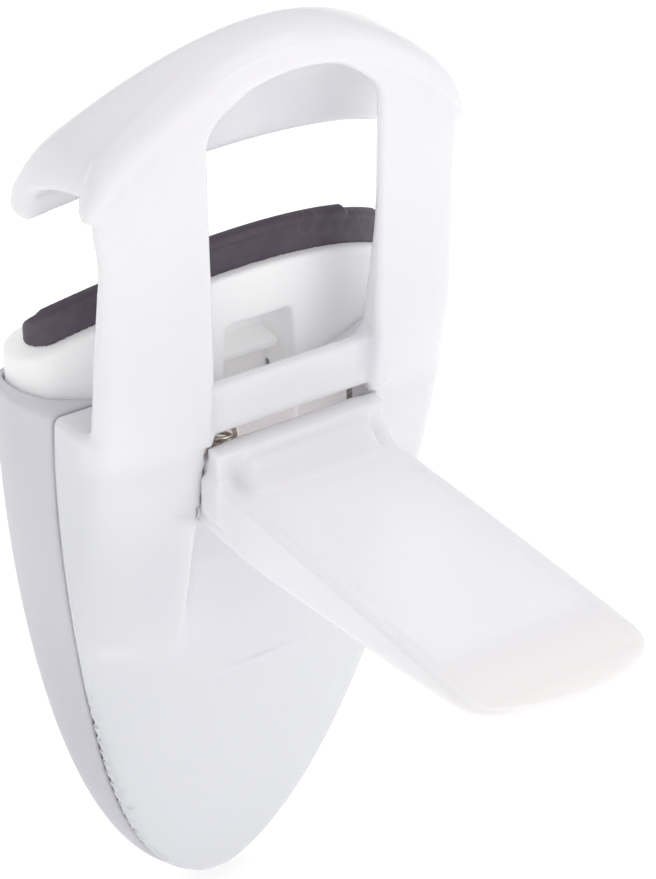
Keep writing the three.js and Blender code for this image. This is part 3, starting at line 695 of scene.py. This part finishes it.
# ---------------------------------------------------------------- sub-assemblies
@dataclass
class FrontFrame:
    """The milky moulding: hooked hood, two uprights, crossbar and shield-shaped cover."""

    half_width: float = 46.1
    ridge_z: float = 86.4
    ridge_arch: float = 0.01272
    crest_rise: float = 2.4
    foot_depth: float = 8.0
    head_depth: float = 3.0
    window_half: float = 20.8
    window_top: float = 80.6
    window_arch: float = 0.0255
    bar_half: float = 25.0
    bar_depth: float = 3.6
    bar_span: tuple = (-6.3, 5.6)
    lip_z: float = 52.9
    lip_arch: float = 0.0070
    lip_crown: float = 0.0081
    hatch_half: float = 23.0
    hatch_skin: float = 22.35
    hatch_shoulder: float = -8.6
    slit_half: float = 20.6
    hatch_depth: tuple = (-40.0, 14.0)
    washer_pocket: float = 3.0
    cheek_width: float = 4.0
    foot_fade: tuple = (-12.0, 48.0, 40.0)
    hatch_low: float = -34.2
    scoop_y: float = 10.7
    scoop_flat_z: float = -50.0
    scoop_low: float = -87.5
    scoop_wall: float = 3.6
    hood_points: list = field(default_factory=lambda: [
        (-5.5, 80.8), (-5.6, 84.0), (-4.9, 86.3), (-2.4, 88.0), (2.0, 88.8), (8.3, 87.6), (13.9, 83.4),
        (18.4, 76.5), (22.6, 67.0), (25.6, 57.5), (25.7, 54.6), (24.0, 53.0), (21.0, 52.9), (18.8, 53.3),
        (17.4, 55.0), (15.7, 62.0), (12.5, 70.0), (7.0, 77.0), (0.0, 80.5)])

    def __post_init__(self) -> None:
        """Works out the hood's side profile."""
        self.hood_profile = Profile(self.hood_points)

    def straightened(self, x: Array, y: Array, z: Array) -> tuple[Array, Array]:
        """Undoes the hood's bending, so that its section can be read at any X.

        A place (y0, z0) of the section lies at y0 + X^2 ky(y0), z0 - X^2 kz(z0). The inverse is
        found by substituting its own result eight times.

        Args:
            x: X of the points.
            y: Y of the points.
            z: Z of the points.

        Returns:
            The points' Y and Z in the section at X = 0.
        """
        square = x * x
        y0, z0 = y - square * 0.006, z + square * 0.009
        for _ in range(8):
            rise = ease((z0 - self.lip_z) / 29.1)
            back = ease((y0 - SHIELD.front_y) / 23.2)
            z0 = 0.4 * z0 + 0.6 * (z + square * (self.lip_arch + 0.00502 * rise))
            y0 = 0.4 * y0 + 0.6 * (y - square * (SHIELD.crown + (self.lip_crown - SHIELD.crown) * back))
        return y0, z0

    def hood(self, x: Array, y: Array, z: Array) -> Array:
        """Field of the hooked hood, with the groove for the rubber strip under its lip."""
        y0, z0 = self.straightened(x, y, z)
        crest = under_arch(x, z, self.ridge_z + self.crest_rise, self.ridge_arch)
        ends = both(np.abs(x) - self.half_width, crest, 8.0)
        shell = both(self.hood_profile.at(y0, z0), ends, 2.0)
        groove = block((x, y0, z0), ((-41.3, 41.3), (20.0, 23.4), (51.0, 54.1)))
        return without(shell, groove, 0.3)

    def plate(self, x: Array, y: Array, z: Array) -> Array:
        """Field of the frame's front plate with its window: thick at the foot and thin at the head."""
        front = SHIELD.front(x, z)
        depth = self.foot_depth + (self.head_depth - self.foot_depth) * ease(z / 44.0)
        sheet = both(front - y, y - front - depth, 2.6)
        ridge = under_arch(x, z, self.ridge_z, self.ridge_arch)
        outline = both(np.abs(x) - self.half_width, ridge, 7.0)
        body = both(sheet, both(outline, SHIELD.top_z - 8.0 - z), 1.6 + 3.0 * ease((62.0 - z) / 20.0))
        arch = under_arch(x, z, self.window_top, self.window_arch)
        window = both(np.abs(x) - self.window_half, arch, 2.6)
        return without(body, window, 2.4)

    def scoop(self, x: Array, y: Array, z: Array, grown: float) -> Array:
        """Field of the hollow that takes the folded arm's root, grown by a wall."""
        end = float(SHIELD.front(np.zeros(1), np.array([self.scoop_low]))[0])
        share = np.clip((self.scoop_flat_z - z) / (self.scoop_flat_z - self.scoop_low), 0.0, 1.3)
        floor = self.scoop_y + (end - self.scoop_y) * share
        sides = both(np.abs(x) - self.hatch_skin - grown, y - floor - grown, 1.5)
        return both(sides, slab(z, self.scoop_low - grown, self.hatch_low + 1.0))

    def field(self, x: Array, y: Array, z: Array) -> Array:
        """Field of the whole moulding."""
        p = (x, y, z)
        cover = SHIELD.cover(*p)
        shut = np.maximum(cover, z - SHIELD.top_z)
        outer = without(both(cover, z - SHIELD.top_z, 2.4), self.scoop(*p, 0.0), 2.0)
        room = np.maximum(cover + SHIELD.wall, z - SHIELD.top_z + SHIELD.wall)
        shell = without(outer, np.maximum(room, -self.scoop(*p, self.scoop_wall)), 0.3)
        shell = both(shell, y - SHIELD.parting(z), 2.3)
        low, high, freed = self.foot_fade
        plate = both(self.plate(*p), cover - freed * ease((z - low) / (high - low)), 1.0)
        behind = y - SHIELD.front(x, z)
        solid = either(shell, plate, 0.3 + 2.7 * ease((behind - 2.0) / 3.0))
        solid = either(solid, self.hood(*p), 1.2 + 4.0 * ease((y + 2.0) / 6.0))
        cheeks = block((np.abs(x), y, z), ((self.hatch_skin, self.hatch_half + self.cheek_width),
                                           (-12.0, 9.6), (self.hatch_low - 1.0, self.bar_span[0])))
        solid = np.minimum(solid, np.maximum(cheeks, shut))
        mouth = np.maximum(JAW.mouth(x, y), slab(z, -18.0, 6.0))
        solid = without(solid, mouth, 0.5)
        ahead = np.maximum(np.maximum(np.abs(x) - self.window_half, y),
                           slab(z, self.bar_span[0] - 1.0, 8.0))
        solid = without(solid, ahead, 1.6)
        bar = block(p, ((-self.bar_half, self.bar_half), (0.0, self.bar_depth), self.bar_span), 1.6)
        solid = either(solid, bar, 3.4)
        for half, top in ((self.hatch_skin, self.hatch_shoulder), (self.slit_half, self.bar_span[0])):
            gap = block(p, ((-half, half), self.hatch_depth, (self.hatch_low, top)), 0.3)
            solid = without(solid, gap, 0.3)
        pocket = np.maximum(post(y - HINGE[0], z - HINGE[1], self.washer_pocket), np.abs(x) - self.hatch_half)
        solid = np.maximum(solid, -pocket)
        bore = np.maximum(post(y - HINGE[0], z - HINGE[1], PIN_BORE), np.abs(x) - 27.0)
        return np.maximum(solid, -bore)

    def build(self, milky: bpy.types.Material, rubber: bpy.types.Material) -> None:
        """Makes the frame and the strip under its lip."""
        shape = skin(self.field, (-52.0, -9.0, -183.5), (52.0, 46.5, 90.5), 0.9)
        Piece("milky_front_frame", shape, "frame_body", ("front_frame",)).make(milky)

        def strip(x: Array, y: Array, z: Array) -> Array:
            """Field of the rubber strip: a rounded bar bent with the lip."""
            y0, z0 = self.straightened(x, y, z)
            return block((x, y0, z0), ((-41.0, 41.0), (20.3, 23.1), (52.4, 53.8)), 0.7)
        shape = skin(strip, (-42.5, 18.0, 36.0), (42.5, 40.0, 56.0), 0.55)
        Piece("lip_rubber_strip", shape, "frame_body", ("lip_pad",)).make(rubber)


@dataclass
class RearHousing:
    """The opaque white shell behind the frame, with its mouth for the jaw and its screw seats."""

    seam: float = 0.12
    screws: tuple = ((36.0, -86.0), (20.0, -146.0))
    seat_y: float = 44.0
    head_radius: float = 3.3
    boss_radius: float = 4.7

    def field(self, x: Array, y: Array, z: Array) -> Array:
        """Field of the housing's shell."""
        back = SHIELD.back(x, y, z)
        outer = both(back, z - SHIELD.top_z, 1.8)
        inner = np.maximum(back + SHIELD.wall, z - SHIELD.top_z + SHIELD.wall)
        shell = without(outer, inner, 0.3)
        side = np.abs(x)
        for across, up in self.screws:
            depth = slab(y, self.seat_y - 4.0, SHIELD.rear_y - 1.0)
            boss = np.maximum(post(side - across, z - up, self.boss_radius), depth)
            shell = np.minimum(shell, np.maximum(boss, back))
        for across, up in self.screws:
            seat = np.maximum(post(side - across, z - up, self.head_radius), self.seat_y - y)
            shell = without(shell, seat, 0.6)
            shell = np.maximum(shell, -post(side - across, z - up, 1.7))
        shell = both(shell, SHIELD.parting(z) + self.seam - y, 1.2)
        mouth = np.minimum(JAW.mouth(x, y), np.maximum(side - 11.7, slab(y, 20.0, 31.9)))
        return without(shell, np.maximum(mouth, slab(z, -20.0, 8.0)), 0.7)

    def build(self, white: bpy.types.Material, metal: bpy.types.Material) -> None:
        """Makes the housing and its four screws."""
        shape = skin(self.field, (-55.5, 8.0, -183.5), (55.5, 50.5, -2.0), 1.0)
        Piece("white_rear_housing", shape, "frame_body", ("rear_housing",)).make(white)
        for row, (across, up) in zip(("upper", "lower"), self.screws):
            for label, side in (("left", -1), ("right", 1)):
                node = f"housing_screw_{row}_{label}"
                self.screw(node, side * across, up, metal)

    def screw(self, node: str, across: float, up: float, metal: bpy.types.Material) -> None:
        """Makes a pan-head screw with a cross recess.

        Args:
            node: The CAD node that it stands for.
            across: X of its axis.
            up: Z of its axis.
            metal: The finish.
        """
        low, high = (v.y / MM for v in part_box(node))

        def rule(x: Array, y: Array, z: Array) -> Array:
            """A domed head on a threaded shank that ends in a cone."""
            u, v = x - across, z - up
            r = np.hypot(u, v)
            dome = y - high + 0.09 * r * r
            head = both(both(r - 2.9, dome, 0.5), self.seat_y + 0.3 - y, 0.2)
            thread = 1.28 + 0.12 * np.cos(2 * np.pi * y / 1.1 + np.arctan2(v, u))
            shank = both(np.maximum(r - thread, low - y + 1.2 * r * 0.6), y - self.seat_y - 1.0)
            cross = np.minimum(np.maximum(np.abs(u) - 1.7, np.abs(v) - 0.36),
                               np.maximum(np.abs(v) - 1.7, np.abs(u) - 0.36))
            recess = both(np.maximum(cross, high - 1.3 + 0.35 * r - y), y - high - 2.0)
            return without(np.minimum(head, shank), recess, 0.1)
        shape = skin(rule, (across - 3.6, low - 0.6, up - 3.6), (across + 3.6, high + 0.6, up + 3.6), 0.24)
        Piece(f"{node}_turned", shape, "frame_body", (node,)).make(metal)


@dataclass
class SlidingJaw:
    """The lower jaw, its rubber pad and the cross pins that hold it in the housing."""

    radius: float = 6.0
    reach: float = 50.4
    top_z: float = 23.4
    skirt_z: float = -18.0
    skirt_half: float = 43.5
    end_z: float = -7.0
    slot_half: float = 8.7
    slot_middle: float = 0.8
    slot_top: float = 10.4
    slot_back: float = 29.0
    slot_wall: float = 2.4
    pad_radius: float = 3.8
    pad_reach: float = 46.7
    pad_top: float = 33.0
    pad_fall: float = 0.84
    bead_height: float = 2.2
    bead_radius: float = 1.7
    bead_step: float = 0.9
    bead_step_x: float = 28.5
    body: str = "jaw_body"

    def field(self, x: Array, y: Array, z: Array) -> Array:
        """Field of the jaw: a curved bar with an arched top, a finger slot and spring pockets."""
        side = np.abs(x)
        plan = JAW.bar(x, y, self.radius, self.reach)
        bar = both(plan, JAW.below(x, z, self.top_z), 1.3)
        foot = np.maximum(self.skirt_z - z, np.minimum(self.end_z - z, side - self.skirt_half))
        bar = both(bar, foot, 0.8)
        back = self.slot_back + self.slot_wall
        box_half = self.slot_half + self.slot_wall
        box = block((x, y, z), ((-box_half, box_half), (JAW.middle_y, back),
                                (self.skirt_z, self.slot_top + self.slot_wall)), 1.6)
        jaw = either(bar, box, 1.0)
        flare = 0.05 * (self.slot_top - z)
        opening = both(np.abs(x - self.slot_middle) - self.slot_half - flare, z - self.slot_top, 3.0)
        jaw = without(jaw, np.maximum(opening, y - self.slot_back), 0.9)
        gap = np.maximum(np.maximum(slab(x, -8.0, -1.0), slab(z, 7.0, 8.6)), slab(y, 26.0, 36.0))
        jaw = without(jaw, gap, 0.3)
        ledge = block((x, y, z), ((-9.8, 9.8), (21.0, 30.0), (-4.0, -1.5)), 0.9)
        jaw = np.minimum(jaw, ledge)
        pocket = np.maximum(post(side - 30.0, y - 27.6, 4.8), slab(z, -40.0, 6.0))
        jaw = without(jaw, pocket, 0.4)
        pin = np.maximum(post(side - 38.0, z + 8.1, 1.5), slab(y, 0.0, 60.0))
        return np.maximum(jaw, -pin)

    def pad(self, x: Array, y: Array, z: Array) -> Array:
        """Field of the pad: a soft bar whose top falls away behind the bead along its front edge."""
        across = (y - JAW.middle_y - JAW.crown * x * x) / np.sqrt(1 + (2 * JAW.crown * x) ** 2)
        fall = self.pad_fall * np.maximum(across + self.pad_radius - 2.0 * self.bead_radius + 0.8, 0.0)
        shoulder = (JAW.below(x, z, self.pad_top - self.bead_height) + fall) / np.hypot(1.0, self.pad_fall)
        core = both(JAW.bar(x, y, self.pad_radius, self.pad_reach), shoulder, 0.9)
        ahead = self.pad_radius - self.bead_radius + 0.8
        wide = JAW.bar(x, y + ahead, self.bead_radius, self.pad_reach - 1.5)
        step = self.bead_step * ease((np.abs(x) - self.bead_step_x) / 1.5)
        top = JAW.below(x, z, self.pad_top) + step
        bead = both(both(wide, top, 1.6), -JAW.below(x, z, self.pad_top - self.bead_height - 0.3), 0.8)
        return both(either(core, bead, 0.7), -JAW.below(x, z, self.top_z + 0.05), 0.3)

    def build(self, plastic: bpy.types.Material, rubber: bpy.types.Material,
              metal: bpy.types.Material) -> None:
        """Makes the jaw, its pad and its pins."""
        shape = skin(self.field, (-53.0, 11.0, -20.0), (53.0, 45.5, 25.5), 0.7)
        Piece("white_lower_jaw", shape, self.body, ("sliding_jaw",)).make(plastic)
        shape = skin(self.pad, (-52.5, 12.0, 2.0), (52.5, 44.5, 36.0), 0.55)
        Piece("jaw_rubber_pad", shape, self.body, ("jaw_pad",)).make(rubber)
        for label in ("left", "right"):
            node = f"jaw_stop_pin_{label}"
            low, high = (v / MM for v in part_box(node))
            middle = (low + high) / 2
            ends = [(low.y, 0.9), (low.y + 0.15, 1.2), (low.y + 0.5, 1.4), (high.y - 0.5, 1.4),
                    (high.y - 0.15, 1.2), (high.y, 0.9)]
            shape = turned(ends, "y", (middle.x, 0.0, middle.z))
            Piece(f"{node}_turned", shape, self.body, (node,)).make(metal)


@dataclass
class LatchArm:
    """The folding arm: a thin wedge-shaped blade on a round knuckle, hollow underneath."""

    half_width: float = 22.05
    reach_y: float = -112.0
    tip_crown: float = 0.0137
    root_y: float = -14.4
    knuckle: tuple = (-2.7, -21.6)
    knuckle_radius: float = 11.5
    knuckle_half: float = 17.0
    wall: float = 2.3
    spring_x: tuple = (-20.0, -11.4)
    spring_side: float = 20.3
    wing_span: tuple = (-5.4, -0.4)
    wing_top: float = -8.9
    body: str = "arm_body"

    def top(self, y: Array) -> Array:
        """Z of the blade's top, a parabola along its length."""
        out = self.root_y - y
        return -16.6 + 0.0865 * out - 0.000183 * out ** 2

    def under(self, y: Array) -> Array:
        """Z of the blade's lower edge, a parabola that closes on the top at the tip."""
        out = np.maximum(-18.2 - y, 0.0)
        inward = np.maximum(y + 18.2, 0.0)
        return -31.2 + 0.187 * out + 0.000246 * out ** 2 - 0.082 * inward

    def field(self, x: Array, y: Array, z: Array) -> Array:
        """Field of the arm."""
        side = np.abs(x)
        tip = self.reach_y + self.tip_crown * x * x - y
        plan = both(side - self.half_width, tip, 7.0)
        dish = 0.5 * ease((self.half_width - 1.2 - side) / 3.0) * ease((-self.reach_y - 5.0 + y) / 5.0) \
            * ease((-y - 15.0) / 8.0)
        blade = both(z - self.top(y) + dish, self.under(y) - z, 0.8)
        blade = both(blade, plan, 1.7)
        slope = ((y - 4.2) * 3.4 + (z + 19.6) * 5.8) / 6.72
        blade = both(both(blade, y - HINGE[0] - 4.2, 5.0), slope, 2.0)
        hump = post(y - self.knuckle[0], z - self.knuckle[1], self.knuckle_radius)
        hump = both(hump, side - self.knuckle_half, 3.2)
        hump = np.maximum(hump, np.maximum(y - 7.0, -26.0 - z))
        wing = block((x, y, z), ((-self.half_width, self.half_width), self.wing_span,
                                 (-25.0, self.wing_top)), 0.7)
        ears = block((side, y, z), ((self.spring_side, self.half_width), (-5.0, 5.0), (-27.0, -12.5)), 0.5)
        arm = either(np.minimum(either(blade, wing, 5.0), ears), hump, 3.0)
        inner = block((x, y, z), ((self.wall - self.half_width, self.half_width - self.wall), (-88.0, -9.0),
                                  (-60.0, 20.0)), 2.0)
        arm = without(arm, both(inner, z - self.top(y) + self.wall, 1.5), 0.7)
        notch = block((x, y, z), (self.spring_x, (-0.2, 20.0), (-16.9, 4.0)))
        arm = without(arm, notch, 0.4)
        return np.maximum(arm, -post(y - HINGE[0], z - HINGE[1], PIN_BORE))

    def build(self, milky: bpy.types.Material) -> None:
        """Makes the arm."""
        shape = skin(self.field, (-23.5, -114.0, -35.0), (23.5, 12.0, -7.8), 0.55)
        Piece("milky_latch_arm", shape, self.body, ("latch_arm",)).make(milky)


@dataclass
class Works:
    """The hinge pin, washers and springs that the mouldings hold."""

    pin_radius: float = 1.25
    washer_radius: float = 2.7
    spring_radius: float = 3.7
    spring_wire: float = 1.2
    spring_turns: float = 10.0
    return_radius: float = 3.3
    return_wire: float = 1.0
    return_turns: float = 4.0
    spring_fixed_z: float = -70.4
    spring_travel: float = 40.0
    body: str = "frame_body"

    def coil(self, node: str, radius: float, wire: float, turns: float) -> tuple[Array, Array]:
        """A compression spring with closed ends, standing on Z in the space its CAD node fills.

        Its centreline is (R cos a, R sin a, rise), where the rise eases in and out so that the first and
        last turns lie flat.

        Args:
            node: The CAD node that it stands for.
            radius: Radius of its centreline.
            wire: Diameter of its wire.
            turns: Number of turns.

        Returns:
            The wire's mesh.
        """
        low, high = (np.array(v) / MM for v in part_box(node))
        middle = (low + high) / 2
        t = np.linspace(0.0, 1.0, int(turns * 28))
        angle = 2 * np.pi * turns * t
        closed = 1.0 / turns
        eased = np.clip((t - 0.6 * closed) / (1 - 1.2 * closed), 0.0, 1.0)
        span = high[2] - low[2] - wire
        rise = low[2] + wire / 2 + span * (0.9 * eased + 0.1 * t)
        path = np.stack([radius * np.cos(angle) + middle[0], radius * np.sin(angle) + middle[1], rise], 1)
        taper = wire / 2 * (0.55 + 0.45 * ease(np.minimum(t, 1 - t) * turns * 2.5))
        return tube(path, taper, 12)

    def build(self, steel: bpy.types.Material, nylon: bpy.types.Material) -> None:
        """Makes the pin, the washers and the springs."""
        low, high = (v.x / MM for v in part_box("hinge_pin"))
        r = self.pin_radius
        ends = [(low, 0.7), (low + 0.2, 1.05), (low + 0.5, r),
                (high - 0.5, r), (high - 0.2, 1.05), (high, 0.7)]
        Piece("hinge_pin_turned", turned(ends, "x", (0.0, *HINGE)), self.body, ("hinge_pin",)).make(
            steel)
        for label in ("left", "right"):
            node = f"arm_washer_{label}"
            low, high = (v.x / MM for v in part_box(node))

            def ring(x: Array, y: Array, z: Array) -> Array:
                """Field of a thin ring round the hinge pin."""
                r = np.hypot(y - HINGE[0], z - HINGE[1])
                flat = both(r - self.washer_radius, 1.4 - r)
                return both(flat, slab(x, low, high), 0.12)
            around = self.washer_radius + 0.5
            shape = skin(ring, (low - 0.3, HINGE[0] - around, HINGE[1] - around),
                         (high + 0.3, HINGE[0] + around, HINGE[1] + around), 0.13)
            Piece(f"{node}_moulded", shape, self.body, (node,)).make(nylon)
            node = f"jaw_spring_{label}"
            shape = self.coil(node, self.spring_radius, self.spring_wire, self.spring_turns)
            spring = Piece(f"{node}_wound", shape, self.body, (node,)).make(steel)
            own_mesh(spring)
        node = "arm_return_spring"
        shape = self.coil(node, self.return_radius, self.return_wire, self.return_turns)
        Piece(f"{node}_wound", shape, self.body, (node,)).make(steel)


@dataclass
class Studio:
    """A pale floor, soft light and the camera, to the front and left of the latch and above it."""

    camera_place: tuple = (-0.2427, -0.4045, 0.3069)
    across: tuple = (0.84805, -0.52992, 0.0)
    upward: tuple = (0.29863, 0.47790, 0.82610)
    backward: tuple = (-0.43777, -0.70057, 0.56353)
    lens: float = 102.39
    floor_drop: float = 0.004
    floor_glow: float = 0.35
    room_light: float = 0.62
    lights: tuple = (
        ("key", (0.2, -1.25, 0.65), 0.9, 3.9, (1.0, 0.995, 0.985)),
        ("top", (0.1, 0.0, 1.4), 1.2, 5.0, (0.97, 0.985, 1.0)),
        ("rim", (-0.3, 1.0, 0.9), 1.0, 0.6, (1.0, 1.0, 1.0)))

    def build(self, lowest: float) -> None:
        """Sets the stage below the object's lowest point.

        Args:
            lowest: Z of that point, in metres.
        """
        world = bpy.data.worlds.new("soft_room")
        world.use_nodes = True
        back = world.node_tree.nodes["Background"]
        back.inputs["Color"].default_value = (1.0, 1.0, 1.0, 1.0)
        back.inputs["Strength"].default_value = self.room_light
        bpy.context.scene.world = world
        bpy.context.scene.view_settings.view_transform = "Standard"
        half = 6.0
        mesh = bpy.data.meshes.new("floor")
        z = lowest - self.floor_drop
        corners = [(-half, -half, z), (half, -half, z), (half, half, z), (-half, half, z)]
        mesh.from_pydata(corners, [], [(0, 1, 2, 3)])
        book = NodeBook("pale_floor")
        tone = book.blend(book.noise(3.0), (0.93, 0.93, 0.93), (0.95, 0.95, 0.95))
        book.join(tone, book.shader.inputs["Base Color"])
        book.shader.inputs["Roughness"].default_value = 0.8
        book.shader.inputs["Emission Color"].default_value = (1.0, 1.0, 1.0, 1.0)
        book.shader.inputs["Emission Strength"].default_value = self.floor_glow
        mesh.materials.append(book.material)
        floor = bpy.data.objects.new("floor", mesh)
        bpy.context.scene.collection.objects.link(floor)
        floor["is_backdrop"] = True
        for name, place, size, power, colour in self.lights:
            data = bpy.data.lights.new(name, "AREA")
            data.size = size
            data.energy = power
            data.color = colour
            lamp = bpy.data.objects.new(name, data)
            lamp.location = place
            lamp.rotation_euler = (Vector(place) - Vector((0, 0, -0.03))).to_track_quat("Z", "Y").to_euler()
            bpy.context.scene.collection.objects.link(lamp)
        data = bpy.data.cameras.new("camera")
        data.lens = self.lens
        data.sensor_width = 36.0
        camera = bpy.data.objects.new("camera", data)
        columns = Matrix((self.across, self.upward, self.backward)).transposed()
        camera.matrix_world = Matrix.Translation(self.camera_place) @ columns.to_4x4()
        bpy.context.scene.collection.objects.link(camera)
        bpy.context.scene.camera = camera


def main() -> None:
    """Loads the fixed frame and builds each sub-assembly round it."""
    logging.basicConfig(level=logging.INFO, format="%(name)s: %(message)s")
    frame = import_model()
    cad_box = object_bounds()
    studio = Studio()
    studio.build(cad_box[0].z)

    # The cover is painted darker towards the bottom, from Z -4 mm to -50 mm: painted shade.
    milky = MouldedFinish("milky_plastic", Plastic.MILKY, 0.005,
                          painted_shade=((0.745, 0.745, 0.785), -0.004, -0.05)).material()
    # The arm is painted lighter and pinker towards its tip: a painted glow of light through the thin plastic.
    glow_tipped_milky = MouldedFinish("milky_arm_plastic", Plastic.MILKY, 0.005,
                            painted_glow=((0.90, 0.865, 0.86), -0.075, -0.112)).material()
    # The housing is painted darker towards the bottom, from Z -30 mm to -130 mm: painted shade.
    white = MouldedFinish("white_plastic", Plastic.WHITE,
                          painted_shade=((0.53, 0.525, 0.575), -0.03, -0.13)).material()
    jaw_white = MouldedFinish("jaw_plastic", Plastic.JAW, glow=0.1).material()
    inner = MouldedFinish("inner_plastic", Plastic.INNER, glow=0.35).material()
    nylon = MouldedFinish("nylon", Plastic.NYLON, 0.001).material()
    rubber = RubberFinish("grey_rubber").material()
    steel = MetalFinish("spring_steel", (0.72, 0.66, 0.56), 0.16).material()
    zinc = MetalFinish("screw_steel", (0.64, 0.63, 0.61), 0.28).material()

    FrontFrame().build(milky, rubber)
    RearHousing().build(white, zinc)
    SlidingJaw().build(jaw_white, rubber, steel)
    LatchArm().build(glow_tipped_milky)
    Works().build(steel, nylon)
    for node, material in {"chassis": inner, "guide_rod_left": steel, "guide_rod_right": steel,
                           "spring_seat_left": steel, "spring_seat_right": steel}.items():
        thing = frame["nodes"][node]
        thing.data.materials.clear()
        thing.data.materials.append(material)
        LOG.info("%s keeps its shape, in %s", node, material.name)


if __name__ == "__main__":
    main()
